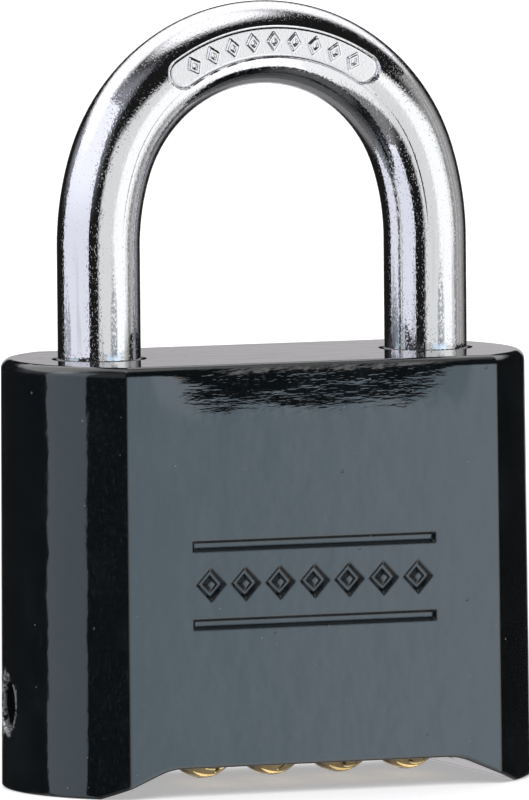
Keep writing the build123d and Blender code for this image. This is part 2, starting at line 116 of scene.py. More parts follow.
class ShackleSizes(bpy.types.PropertyGroup):
    """Sizes and colour of the shackle"""
    crown_radius: bpy.props.FloatProperty(
        name="Crown radius", description="Radius of the arch at its top, along the bar's middle",
        default=16.2 * mm, unit="LENGTH")
    shoulder_radius: bpy.props.FloatProperty(
        name="Shoulder radius", description="Radius of the arch between a leg and the crown",
        default=25.8 * mm, unit="LENGTH")
    panel_radius: bpy.props.FloatProperty(
        name="Panel radius", description="Radius of the stamped panel's middle line",
        default=16.4 * mm, unit="LENGTH")
    panel_half_angle: bpy.props.FloatProperty(
        name="Panel half angle", description="From the top of the arch to a rounded end of the panel",
        default=radians(34), subtype="ANGLE")
    panel_width: bpy.props.FloatProperty(
        name="Panel width", description="Width of the stamped panel", default=3.2 * mm, unit="LENGTH")
    panel_depth: bpy.props.FloatProperty(
        name="Panel depth", description="How deep the flat of the panel is pressed",
        default=0.42 * mm, unit="LENGTH")
    stud_count: bpy.props.IntProperty(
        name="Lozenges", description="Raised lozenges along the panel", default=9)
    stud_rise: bpy.props.FloatProperty(
        name="Lozenge rise", description="Height of a lozenge above the panel",
        default=0.2 * mm, unit="LENGTH")
    plating: bpy.props.FloatVectorProperty(
        name="Plating", description="Colour of the bright plating", subtype="COLOR",
        default=(0.80, 0.80, 0.83))


class DialSizes(bpy.types.PropertyGroup):
    """Engraving and colour of the number dials"""
    numeral_height: bpy.props.FloatProperty(
        name="Numeral height", description="Height of an engraved numeral, round the rim",
        default=2.7 * mm, unit="LENGTH")
    numeral_width: bpy.props.FloatProperty(
        name="Numeral width", description="Width of an engraved numeral, along the spindle",
        default=1.7 * mm, unit="LENGTH")
    stroke: bpy.props.FloatProperty(
        name="Stroke", description="Half the width of an engraved stroke",
        default=0.17 * mm, unit="LENGTH")
    engraving: bpy.props.FloatProperty(
        name="Engraving", description="Depth of the numerals", default=0.2 * mm, unit="LENGTH")
    brass: bpy.props.FloatVectorProperty(
        name="Brass", description="Colour of the rubbed brass", subtype="COLOR",
        default=(0.92, 0.70, 0.36))


class CaseLook(bpy.types.PropertyGroup):
    """Enamel and bare metal of the case"""
    enamel: bpy.props.FloatVectorProperty(
        name="Enamel", description="Colour of the gloss enamel", subtype="COLOR",
        default=(0.003, 0.0042, 0.005))
    soft_edge: bpy.props.FloatProperty(
        name="Soft edge", description="How far the enamel rounds a sharp edge of the casting",
        default=0.09 * mm, unit="LENGTH")
    bow_radius: bpy.props.FloatProperty(
        name="Bow radius", description="Radius of the very slight crown of the faces, side to side",
        default=1.2, unit="LENGTH")
    roll_height: bpy.props.FloatProperty(
        name="Roll height", description="How far below the top the front's gloss starts to turn up",
        default=4.0 * mm, unit="LENGTH")
    bare_metal: bpy.props.FloatVectorProperty(
        name="Casting metal", description="Colour of the zinc where the enamel is rubbed away",
        subtype="COLOR", default=(0.80, 0.81, 0.84))


class StageLook(bpy.types.PropertyGroup):
    """Floor, daylight and camera"""
    floor_size: bpy.props.FloatProperty(
        name="Floor size", description="Side of the square floor", default=14.0, unit="LENGTH")
    floor_colour: bpy.props.FloatVectorProperty(
        name="Floor", description="Colour of the pale floor", subtype="COLOR",
        default=(0.86, 0.86, 0.87))
    floor_glow: bpy.props.FloatProperty(
        name="Floor glow", description="Light that the floor itself gives, as a light table does",
        default=0.45)
    daylight: bpy.props.FloatProperty(
        name="Daylight", description="Strength of the soft lamp that isn't reflected", default=2.1)
    daylight_softness: bpy.props.FloatProperty(
        name="Daylight softness", description="Width of that lamp as an angle",
        default=radians(50), subtype="ANGLE")
    aim: bpy.props.FloatVectorProperty(
        name="Aim", description="Point that the camera looks at", subtype="TRANSLATION",
        default=(0.1 * mm, 0.0, 36.4 * mm))
    view_azimuth: bpy.props.FloatProperty(
        name="Azimuth", description="Direction of the camera, from straight in front",
        default=radians(-20.8), subtype="ANGLE")
    view_elevation: bpy.props.FloatProperty(
        name="Elevation", description="Height of the camera as an angle", default=radians(4.26),
        subtype="ANGLE")
    view_roll: bpy.props.FloatProperty(
        name="Roll", description="Tilt of the camera about its own axis", default=radians(-0.5),
        subtype="ANGLE")
    view_distance: bpy.props.FloatProperty(
        name="Distance", description="From the camera to the point that it looks at",
        default=1.407, unit="LENGTH")
    lens: bpy.props.FloatProperty(
        name="Lens", description="Focal length in millimetres", default=662.6)


# ---------------------------------------------------------------- node helpers


def put(tree, kind, inputs=None, **fields):
    """Adds a node, sets its fields, and fills its inputs with numbers or with links."""
    node = tree.nodes.new(kind)
    for field, value in fields.items():
        setattr(node, field, value)
    for name, value in (inputs or {}).items():
        if isinstance(value, bpy.types.NodeSocket):
            tree.links.new(value, node.inputs[name])
        else:
            node.inputs[name].default_value = value
    return node


def calc(tree, operation, *values, clamp=False):
    """Result of one Math node."""
    inputs = dict(enumerate(values))
    return put(tree, "ShaderNodeMath", inputs, operation=operation, use_clamp=clamp).outputs[0]


def ramp(tree, value, start, end, low=0.0, high=1.0, smooth=True):
    """A value carried from one range to another, held at both ends."""
    kind = "SMOOTHSTEP" if smooth else "LINEAR"
    node = put(tree, "ShaderNodeMapRange", interpolation_type=kind)
    for name, number in (("Value", value), ("From Min", start), ("From Max", end),
                         ("To Min", low), ("To Max", high)):
        if isinstance(number, bpy.types.NodeSocket):
            tree.links.new(number, node.inputs[name])
        else:
            node.inputs[name].default_value = number
    return node.outputs["Result"]


def blend_colours(tree, factor, first, second, how="MIX"):
    """Two colours mixed by a factor."""
    node = put(tree, "ShaderNodeMix", data_type="RGBA", blend_type=how)
    for index, value in ((0, factor), (6, first), (7, second)):
        if isinstance(value, bpy.types.NodeSocket):
            tree.links.new(value, node.inputs[index])
        elif index:
            node.inputs[index].default_value = (*value[:3], 1)
        else:
            node.inputs[index].default_value = value
    return node.outputs[2]


def stretched(tree, place, scale, turn=(0, 0, 0)):
    """Coordinates turned and scaled by a Mapping node."""
    inputs = {"Vector": place, "Scale": scale, "Rotation": turn}
    return put(tree, "ShaderNodeMapping", inputs).outputs[0]


def noise(tree, place, scale, detail=2.0, roughness=0.5):
    """Noise about 0.5, at a number of features to the metre."""
    inputs = {"Vector": place, "Scale": scale, "Detail": detail, "Roughness": roughness}
    return put(tree, "ShaderNodeTexNoise", inputs).outputs["Fac"]


def bump(tree, height, strength=1.0, distance=mm, normal=None):
    """Normal from a height in millimetres."""
    inputs = {"Height": height, "Strength": strength, "Distance": distance}
    if normal is not None:
        inputs["Normal"] = normal
    return put(tree, "ShaderNodeBump", inputs).outputs[0]


def new_group(name, inputs, outputs):
    """Empty shader node group: inputs as name -> default number, outputs as names."""
    group = bpy.data.node_groups.new(name, "ShaderNodeTree")
    for title, default in inputs.items():
        kind = "NodeSocketVector" if default is None else "NodeSocketFloat"
        socket = group.interface.new_socket(title, in_out="INPUT", socket_type=kind)
        if default is not None:
            socket.default_value = default
    for title in outputs:
        group.interface.new_socket(title, in_out="OUTPUT", socket_type="NodeSocketFloat")
    return group, group.nodes.new("NodeGroupInput").outputs, group.nodes.new("NodeGroupOutput")


def use(tree, group, **values):
    """Places a shared effect in a material with its own values, and gives its outputs."""
    node = tree.nodes.new("ShaderNodeGroup")
    node.node_tree = bpy.data.node_groups[group]
    for name, value in values.items():
        socket = node.inputs[name.replace("_", " ").capitalize()]
        if isinstance(value, bpy.types.NodeSocket):
            tree.links.new(value, socket)
        else:
            socket.default_value = value
    return node.outputs


# ---------------------------------------------------------------- shared effects


def make_peel_group():
    """Orange peel: two sizes of soft ripple. Height is in millimetres."""
    inputs = {"Place": None, "Size": 1.0, "Depth": 0.004}
    group, given, result = new_group("Orange peel", inputs, ["Height"])
    finer = calc(group, "DIVIDE", 1000.0, given["Size"])
    broad = noise(group, given["Place"], calc(group, "MULTIPLY", finer, 0.28), 1.0)
    fine = noise(group, given["Place"], finer, 1.5)
    total = calc(group, "MULTIPLY_ADD", broad, 2.5, fine)
    height = calc(group, "MULTIPLY", total, given["Depth"])
    group.links.new(height, result.inputs["Height"])


def make_specks_group():
    """Scattered round specks or pits: cells of which only a share holds a dot of its own size."""
    inputs = {"Place": None, "Spacing": 1.0, "Share": 0.3, "Radius": 0.2}
    group, given, result = new_group("Specks", inputs, ["Mask"])
    scale = calc(group, "DIVIDE", 1000.0, given["Spacing"])
    cells = put(group, "ShaderNodeTexVoronoi", {"Vector": given["Place"], "Scale": scale})
    chance = put(group, "ShaderNodeSeparateColor", {"Color": cells.outputs["Color"]})
    reach = calc(group, "MULTIPLY", given["Radius"], calc(group, "ADD", chance.outputs["Green"], 0.3))
    dot = ramp(group, cells.outputs["Distance"], reach, calc(group, "MULTIPLY", reach, 0.5))
    there = calc(group, "LESS_THAN", chance.outputs["Red"], given["Share"])
    group.links.new(calc(group, "MULTIPLY", dot, there), result.inputs["Mask"])


def make_scratches_group():
    """Fine scratches in three directions: thin level lines of noise that is stretched one way."""
    inputs = {"Place": None, "Spacing": 2.0, "Width": 0.02, "Share": 0.5}
    group, given, result = new_group("Scratches", inputs, ["Mask"])
    scale = calc(group, "DIVIDE", 1000.0, given["Spacing"])
    patch_scale = calc(group, "MULTIPLY", scale, 0.9)
    bare_below = calc(group, "SUBTRACT", 0.75, calc(group, "MULTIPLY", given["Share"], 0.4))
    total = None
    for turn in ((0.3, 0.2, 0.5), (1.2, 0.6, 2.1), (0.1, 1.9, 3.0)):
        lane = noise(group, stretched(group, given["Place"], (1.0, 0.07, 0.5), turn), scale, 1.0)
        off_line = calc(group, "ABSOLUTE", calc(group, "SUBTRACT", lane, 0.5))
        line = ramp(group, off_line, given["Width"], 0.0)
        patch = noise(group, stretched(group, given["Place"], (1, 1, 1), turn), patch_scale, 2.0)
        here = ramp(group, patch, bare_below, 0.8)
        line = calc(group, "MULTIPLY", line, here)
        total = line if total is None else calc(group, "MAXIMUM", total, line)
    group.links.new(total, result.inputs["Mask"])


def make_rubbed_group():
    """Rubbed edges: where a rounded normal leaves the true one, broken up by noise."""
    inputs = {"Place": None, "Radius": 0.2, "Amount": 1.0}
    group, given, result = new_group("Rubbed edges", inputs, ["Mask"])
    reach = calc(group, "MULTIPLY", given["Radius"], mm)
    rounded = put(group, "ShaderNodeBevel", {"Radius": reach}, samples=4)
    true = put(group, "ShaderNodeNewGeometry")
    inputs = {0: rounded.outputs[0], 1: true.outputs["Normal"]}
    along = put(group, "ShaderNodeVectorMath", inputs, operation="DOT_PRODUCT").outputs["Value"]
    edge = ramp(group, along, 0.985, 0.85)
    worn = ramp(group, noise(group, given["Place"], 900.0, 3.0), 0.4, 0.65)
    mask = calc(group, "MULTIPLY", calc(group, "MULTIPLY", edge, worn), given["Amount"], clamp=True)
    group.links.new(mask, result.inputs["Mask"])


def make_stain_group():
    """Uneven film or stain: soft patches that gather towards one value. Mask runs from 0 to 1."""
    inputs = {"Place": None, "Size": 5.0, "Cover": 0.5}
    group, given, result = new_group("Stain", inputs, ["Mask"])
    scale = calc(group, "DIVIDE", 1000.0, given["Size"])
    patch = noise(group, given["Place"], scale, 5.0, 0.62)
    edge = calc(group, "SUBTRACT", 0.82, calc(group, "MULTIPLY", given["Cover"], 0.6))
    mask = ramp(group, patch, calc(group, "SUBTRACT", edge, 0.1), calc(group, "ADD", edge, 0.12))
    group.links.new(mask, result.inputs["Mask"])


def make_turning_group():
    """Turning marks: fine rings about the X axis through a point. Height is from 0 to 1."""
    inputs = {"Place": None, "Centre z": 0.0, "Pitch": 0.12}
    group, given, result = new_group("Turning marks", inputs, ["Height"])
    parts = put(group, "ShaderNodeSeparateXYZ", {"Vector": given["Place"]})
    rise = calc(group, "SUBTRACT", parts.outputs["Z"], given["Centre z"])
    radius = calc(group, "SQRT", calc(group, "ADD", calc(group, "POWER", rise, 2.0),
                                      calc(group, "POWER", parts.outputs["Y"], 2.0)))
    wander = calc(group, "MULTIPLY", noise(group, given["Place"], 300.0), 0.04 * mm)
    ring = calc(group, "ADD", calc(group, "ADD", radius, parts.outputs["X"]), wander)
    turns = calc(group, "DIVIDE", ring, calc(group, "MULTIPLY", given["Pitch"], mm))
    wave = calc(group, "SINE", calc(group, "MULTIPLY", turns, 2 * pi))
    group.links.new(calc(group, "MULTIPLY_ADD", wave, 0.5, 0.5), result.inputs["Height"])


# ---------------------------------------------------------------- materials


def new_material(name, **constants):
    """Material with one Principled BSDF whose constants are set on its own sockets."""
    material = bpy.data.materials.new(name)
    material.use_nodes = True
    tree = material.node_tree
    shader = tree.nodes["Principled BSDF"]
    for socket, value in constants.items():
        shader.inputs[socket.replace("_", " ")].default_value = value
    place = tree.nodes.new("ShaderNodeTexCoord").outputs["Object"]
    return material, tree, shader, place


def feed(tree, shader, **sockets):
    """Links results into the shader."""
    for name, value in sockets.items():
        tree.links.new(value, shader.inputs[name.replace("_", " ")])


def make_enamel():
    """Gloss enamel over a zinc casting: peel, a soft roll at the top, dust, scratches, bare rim."""
    look = bpy.context.scene.padlock_case
    material, tree, shader, place = new_material("gloss_enamel", IOR=1.8)
    parts = put(tree, "ShaderNodeSeparateXYZ", {"Vector": place}).outputs
    peel = use(tree, "Orange peel", place=place, size=0.6, depth=0.0042)["Height"]
    waves = noise(tree, stretched(tree, place, (1, 1, 0.6)), 330.0, 2.0)
    waves = calc(tree, "MULTIPLY", waves, 0.03)

    # the enamel draws back from the top edge of the front, so its gloss turns upwards there
    streaks = noise(tree, stretched(tree, place, (0.3, 1, 1.5)), 420.0, 4.0, 0.65)
    uneven = noise(tree, stretched(tree, place, (1, 1, 0.6)), 150.0, 3.0)
    level = calc(tree, "MULTIPLY_ADD", streaks, 1.1 * mm, parts["Z"])
    level = calc(tree, "MULTIPLY_ADD", uneven, 2.2 * mm, level)
    over = calc(tree, "MAXIMUM", calc(tree, "SUBTRACT", level, case_high.z - look.roll_height), 0.0)
    roll = calc(tree, "MULTIPLY", calc(tree, "POWER", calc(tree, "DIVIDE", over, mm), 2.0), -0.05)
    middle = ramp(tree, calc(tree, "ABSOLUTE", parts["X"]), 16.5 * mm, 8 * mm)
    roll = calc(tree, "MULTIPLY", roll, middle)
    facing = put(tree, "ShaderNodeNewGeometry").outputs["Normal"]
    facing = put(tree, "ShaderNodeSeparateXYZ", {"Vector": facing}).outputs["Y"]
    on_front = ramp(tree, facing, -0.7, -0.96)

    dust = use(tree, "Specks", place=place, spacing=1.4, share=0.3, radius=0.085)["Mask"]
    pits = use(tree, "Specks", place=place, spacing=2.2, share=0.35, radius=0.08)["Mask"]
    scratch = use(tree, "Scratches", place=place, spacing=3.2, width=0.0035, share=0.35)["Mask"]
    height = calc(tree, "ADD", peel, waves)
    height = calc(tree, "ADD", height, calc(tree, "MULTIPLY", dust, 0.012))
    height = calc(tree, "SUBTRACT", height, calc(tree, "MULTIPLY", pits, 0.02))
    height = calc(tree, "SUBTRACT", height, calc(tree, "MULTIPLY", scratch, 0.003))

    # the cast faces are very slightly crowned from side to side
    square = calc(tree, "MULTIPLY", parts["X"], parts["X"])
    crown = calc(tree, "MULTIPLY", square, -1 / (2 * look.bow_radius * mm))
    height = calc(tree, "ADD", height, crown)

    # keys and tools have rubbed the enamel from the mouth of the reset hole
    off_y = calc(tree, "SUBTRACT", parts["Y"], reset_hole_y)
    off_z = calc(tree, "SUBTRACT", parts["Z"], reset_hole_z)
    ring = calc(tree, "SQRT", calc(tree, "ADD", calc(tree, "MULTIPLY", off_y, off_y),
                                   calc(tree, "MULTIPLY", off_z, off_z)))
    ragged = calc(tree, "MULTIPLY_ADD", noise(tree, place, 1100.0, 4.0, 0.7), 2.6 * mm, ring)
    rim = ramp(tree, ragged, reset_hole_radius + 2.0 * mm, reset_hole_radius + 1.8 * mm)
    rim = calc(tree, "MULTIPLY", rim, ramp(tree, parts["X"], -24.7 * mm, -25.2 * mm))
    chips = ramp(tree, noise(tree, place, 2300.0, 3.0, 0.6), 0.42, 0.54)
    rim = calc(tree, "MULTIPLY", rim, chips)
    rubbed = use(tree, "Rubbed edges", place=place, radius=0.25, amount=0.9)["Mask"]
    low = ramp(tree, parts["Z"], 1.2 * mm, 0.2 * mm)
    bare = calc(tree, "MAXIMUM", rim, calc(tree, "MULTIPLY", rubbed, low))

    film = use(tree, "Stain", place=place, size=9.0, cover=0.45)["Mask"]
    colour = blend_colours(tree, film, look.enamel, [c * 1.7 + 0.001 for c in look.enamel])
    fine = noise(tree, stretched(tree, place, (1, 1, 0.6)), 3600.0, 3.0, 0.6)
    fine = ramp(tree, fine, 0.5, 0.8)
    colour = blend_colours(tree, calc(tree, "MULTIPLY", fine, 0.3), colour, (0.03, 0.032, 0.031))
    colour = blend_colours(tree, calc(tree, "MULTIPLY", dust, 0.6), colour, (0.20, 0.20, 0.19))
    cloudy = noise(tree, place, 1500.0, 3.0)
    metal_tone = blend_colours(tree, cloudy, look.bare_metal, (0.36, 0.36, 0.37))
    colour = blend_colours(tree, bare, colour, metal_tone)
    rough = calc(tree, "MULTIPLY_ADD", film, 0.03, 0.06)
    rough = calc(tree, "ADD", rough, calc(tree, "MULTIPLY", scratch, 0.2))
    rough = calc(tree, "ADD", rough, calc(tree, "MULTIPLY", bare, 0.3))
    # enamel runs round the creases and fills them a little
    soft = put(tree, "ShaderNodeBevel", {"Radius": 0.28 * mm}, samples=6).outputs["Normal"]
    normal = bump(tree, roll, strength=on_front, normal=bump(tree, height, normal=soft))
    metal = calc(tree, "MULTIPLY", bare, 0.8)
    feed(tree, shader, Base_Color=colour, Roughness=rough, Metallic=metal, Normal=normal)
    return material


def leg_scuff_and_reflection(tree, place, parts, turn, half_width, length):
    """Speckled scuff up a leg from the case, with real roughness and a painted dark reflection in its
    colour: widest at the case, and a point at its top. Its middle is at an angle round the leg from
    straight in front."""
    side = calc(tree, "SIGN", parts["X"])
    off_leg = calc(tree, "SUBTRACT", parts["X"], calc(tree, "MULTIPLY", side, leg_x))
    angle = calc(tree, "ARCTAN2", off_leg, calc(tree, "MULTIPLY", parts["Y"], -1.0))
    off = calc(tree, "ABSOLUTE", calc(tree, "SUBTRACT", angle, turn))
    top, shoulder = case_high.z + 1.6 * length, case_high.z + 0.35 * length
    taper = ramp(tree, parts["Z"], top, shoulder, 0.0, half_width)
    edge = calc(tree, "SUBTRACT", taper, off)
    wedge = ramp(tree, edge, 0.0, radians(3.2))
    speckle = noise(tree, stretched(tree, place, (1, 1, 0.45)), 6500.0, 4.0, 0.75)
    fade = ramp(tree, parts["Z"], case_high.z + 1.5 * length, case_high.z, 0.50, 0.34)
    broken = ramp(tree, speckle, fade, calc(tree, "ADD", fade, 0.16))
    foot = ramp(tree, parts["Z"], case_high.z + 0.1 * mm, case_high.z + 0.8 * mm)
    return calc(tree, "MULTIPLY", calc(tree, "MULTIPLY", wedge, broken), foot)


def make_chrome():
    """Bright plating over hardened steel: fine pits, hairline scratches and a thin film near the case."""
    look = bpy.context.scene.padlock_shackle
    material, tree, shader, place = new_material("bright_plating", Metallic=1.0)
    parts = put(tree, "ShaderNodeSeparateXYZ", {"Vector": place}).outputs
    pits = use(tree, "Specks", place=place, spacing=0.34, share=0.5, radius=0.34)["Mask"]
    coarse = use(tree, "Specks", place=place, spacing=0.9, share=0.35, radius=0.16)["Mask"]
    patchy = use(tree, "Stain", place=place, size=6.0, cover=0.75)["Mask"]
    grain = ramp(tree, noise(tree, stretched(tree, place, (1, 1, 0.7)), 5200.0, 2.0), 0.52, 0.74)
    long_scratch = use(tree, "Scratches", place=place, spacing=1.4, width=0.006, share=0.5)["Mask"]
    height = calc(tree, "MULTIPLY", calc(tree, "MULTIPLY", grain, patchy), 0.0065)
    deep = calc(tree, "MULTIPLY", pits, patchy)
    height = calc(tree, "SUBTRACT", height, calc(tree, "MULTIPLY", deep, 0.005))
    height = calc(tree, "SUBTRACT", height, calc(tree, "MULTIPLY", coarse, 0.004))
    height = calc(tree, "SUBTRACT", height, calc(tree, "MULTIPLY", long_scratch, 0.003))

    # the foot of each leg is rubbed dull by the case, in streaks along the leg
    streak = noise(tree, stretched(tree, place, (1, 1, 0.05)), 1300.0, 2.0)
    foot = ramp(tree, parts["Z"], case_high.z + 16 * mm, case_high.z)
    dull = calc(tree, "MULTIPLY", foot, ramp(tree, streak, 0.52, 0.7))
    tone = blend_colours(tree, dull, look.plating, [c * 0.72 for c in look.plating])
    # painted reflection: dark bluish wedges up the front and the left of each leg, speckled and roughened
    # like scuffs
    scuffs_and_reflections = None
    for turn, half_width, length in ((1.0, 6.5, 9 * mm), (-69.0, 8.0, 7 * mm)):
        scuff_and_reflection = leg_scuff_and_reflection(tree, place, parts, radians(turn), radians(half_width), length)
        scuffs_and_reflections = scuff_and_reflection if scuffs_and_reflections is None else calc(tree, "MAXIMUM", scuffs_and_reflections, scuff_and_reflection)
    tone = blend_colours(tree, calc(tree, "MULTIPLY", pits, 0.25), tone, (0.42, 0.42, 0.44))
    inside = ramp(tree, parts["Z"], case_high.z - 0.4 * mm, case_high.z - 3 * mm)
    greasy = calc(tree, "MULTIPLY", inside, 0.5)
    tone = blend_colours(tree, greasy, tone, (0.20, 0.18, 0.15))
    # the painted dark reflection is blended into the plating's colour here
    tone = blend_colours(tree, calc(tree, "MULTIPLY", scuffs_and_reflections, 0.65), tone, (0.115, 0.145, 0.165))
    rough = calc(tree, "MULTIPLY_ADD", dull, 0.13, 0.045)
    rough = calc(tree, "ADD", rough, calc(tree, "MULTIPLY", scuffs_and_reflections, 0.2))
    rough = calc(tree, "ADD", rough, calc(tree, "MULTIPLY", long_scratch, 0.12))
    rough = calc(tree, "ADD", rough, calc(tree, "MULTIPLY", greasy, 0.25))
    feed(tree, shader, Base_Color=tone, Roughness=rough, Normal=bump(tree, height))
    return material


def make_aged_brass():
    """Rubbed brass with a dark oxide in the numerals, and painted shade of the same dark colour in the
    grooves and on the faces of the dial.
    """
    look = bpy.context.scene.padlock_dials
    material, tree, shader, place = new_material("aged_brass")
    # the shade attribute: dark numerals, with painted shade in the grooves and on the dial's faces
    numerals_and_shade = put(tree, "ShaderNodeAttribute", attribute_name="shade").outputs["Fac"]
    film = use(tree, "Stain", place=place, size=2.6, cover=0.55)["Mask"]
    blotch = use(tree, "Stain", place=place, size=0.9, cover=0.35)["Mask"]
    axis_z = dial_boxes[0][0].z + rim_radius
    marks = use(tree, "Turning marks", place=place, centre_z=axis_z, pitch=0.11)["Height"]
    scratch = use(tree, "Scratches", place=place, spacing=0.9, width=0.012, share=0.6)["Mask"]
    dark = calc(tree, "MAXIMUM", numerals_and_shade, calc(tree, "MULTIPLY", film, 0.3))
    dark = calc(tree, "MAXIMUM", dark, calc(tree, "MULTIPLY", blotch, 0.35))
    dark = calc(tree, "SUBTRACT", dark, calc(tree, "MULTIPLY", scratch, 0.3), clamp=True)
    redder = [c * f for c, f in zip(look.brass, (0.92, 0.84, 0.66))]
    warm = blend_colours(tree, noise(tree, place, 700.0, 3.0), look.brass, redder)
    colour = blend_colours(tree, dark, warm, (0.040, 0.024, 0.012))
    metal = ramp(tree, dark, 0.3, 1.0, 1.0, 0.35)
    rough = calc(tree, "MULTIPLY_ADD", dark, 0.35, 0.2)
    height = calc(tree, "MULTIPLY_ADD", marks, 0.0012, calc(tree, "MULTIPLY", blotch, -0.004))
    height = calc(tree, "SUBTRACT", height, calc(tree, "MULTIPLY", scratch, 0.003))
    feed(tree, shader, Base_Color=colour, Roughness=rough, Metallic=metal, Normal=bump(tree, height))
    return material


def make_machined(name, colour, stained, rough=0.28, cover=0.35, grain_scale=(1, 1, 1), pits=0.2):
    """Small metal part: drawn or turned grain, a thin oxide, bright rubbed edges and a few pits."""
    material, tree, shader, place = new_material(name, Metallic=1.0)
    film = use(tree, "Stain", place=place, size=2.2, cover=cover)["Mask"]
    edges = use(tree, "Rubbed edges", place=place, radius=0.12, amount=0.8)["Mask"]
    scratch = use(tree, "Scratches", place=place, spacing=1.1, width=0.012, share=0.55)["Mask"]
    pit = use(tree, "Specks", place=place, spacing=0.5, share=pits, radius=0.2)["Mask"]
    grain = noise(tree, stretched(tree, place, grain_scale), 4200.0, 2.0)
    tone = blend_colours(tree, noise(tree, place, 800.0, 3.0), colour, [c * 0.86 for c in colour])
    tone = blend_colours(tree, calc(tree, "MULTIPLY", film, 0.8), tone, stained)
    tone = blend_colours(tree, calc(tree, "MAXIMUM", edges, calc(tree, "MULTIPLY", scratch, 0.5)), tone,
                         [min(1.0, c * 1.18 + 0.03) for c in colour])
    roughness = calc(tree, "MULTIPLY_ADD", film, 0.22, rough)
    roughness = calc(tree, "SUBTRACT", roughness, calc(tree, "MULTIPLY", edges, 0.1), clamp=True)
    height = calc(tree, "MULTIPLY", grain, 0.0035)
    height = calc(tree, "SUBTRACT", height, calc(tree, "MULTIPLY", pit, 0.008))
    height = calc(tree, "SUBTRACT", height, calc(tree, "MULTIPLY", scratch, 0.003))
    feed(tree, shader, Base_Color=tone, Roughness=roughness, Normal=bump(tree, height))
    return material


# ---------------------------------------------------------------- mesh helpers


def signed_volume(points, faces):
    """Six times the volume inside quads, positive where they face outwards."""
    a, b, c, d = (points[faces[:, k]] for k in range(4))
    return np.einsum("ij,ij->", a, np.cross(b, c)) + np.einsum("ij,ij->", a, np.cross(c, d))


def surface(name, grid, closed_rows=False, sharp=radians(38)):
    """Closed surface through a grid of points: columns wrap round, rows wrap if asked.
    A row whose points all meet is a pole; seams and poles are merged."""
    rows, columns, _ = grid.shape
    index = np.arange(rows * columns).reshape(rows, columns)
    below = index if closed_rows else index[:-1]
    above = np.roll(index, -1, axis=0) if closed_rows else index[1:]
    quads = np.stack([below, np.roll(below, -1, axis=1), np.roll(above, -1, axis=1), above], axis=-1)
    quads = quads.reshape(-1, 4)
    points = grid.reshape(-1, 3)
    if signed_volume(points, quads) < 0:
        quads = quads[:, ::-1]
    mesh = bpy.data.meshes.new(name)
    mesh.from_pydata(points, [], quads)
    return finish_mesh(mesh, sharp)


def finish_mesh(mesh, sharp, merge=1e-7):
    """Merges doubles, shades smooth and keeps edges sharper than an angle."""
    work = bmesh.new()
    work.from_mesh(mesh)
    bmesh.ops.remove_doubles(work, verts=work.verts, dist=merge)
    bmesh.ops.dissolve_degenerate(work, edges=work.edges, dist=merge)
    work.to_mesh(mesh)
    work.free()
    mesh.polygons.foreach_set("use_smooth", np.ones(len(mesh.polygons), bool))
    mesh.set_sharp_from_angle(angle=sharp)
    return mesh


def place_piece(name, mesh, material, body, slot, *nodes):
    """Object for a mesh: its material, the body that it rides on and the nodes that it stands for."""
    piece = bpy.data.objects.new(name, mesh)
    bpy.context.scene.collection.objects.link(piece)
    mesh.materials.clear()
    mesh.materials.append(material)
    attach(piece, body)
    if nodes:
        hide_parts(*nodes)
    return piece


def smooth_step(value):
    """0 below 0, 1 above 1 and an S between."""
    t = np.clip(value, 0, 1)
    return t * t * (3 - 2 * t)


def body_with(node):
    """Name of the body that a CAD node rides on."""
    bodies = frame["record"]["behaviour"]["bodies"]
    return next(body for body, members in bodies.items() if node in members)


def softened_copy(node, material, slot, width, limit=radians(28), flat=radians(0.4)):
    """Copy of a CAD node: doubles merged, flat faces joined, sharp edges given a small round."""
    mesh = frame["nodes"][node].data.copy()
    mesh.name = f"{node}_finished"
    work = bmesh.new()
    work.from_mesh(mesh)
    bmesh.ops.remove_doubles(work, verts=work.verts, dist=1e-6)
    bmesh.ops.dissolve_limit(work, angle_limit=flat, verts=work.verts, edges=work.edges)
    work.to_mesh(mesh)
    work.free()
    mesh.polygons.foreach_set("use_smooth", np.ones(len(mesh.polygons), bool))
    piece = place_piece(f"{node}_finish", mesh, material, body_with(node), slot, node)
    soften = piece.modifiers.new("Soft edges", "BEVEL")
    soften.width = width
    soften.segments = 2
    soften.limit_method = "ANGLE"
    soften.angle_limit = limit
    even = piece.modifiers.new("Even shading", "WEIGHTED_NORMAL")
    even.weight = 80
    return piece


# ---------------------------------------------------------------- shackle


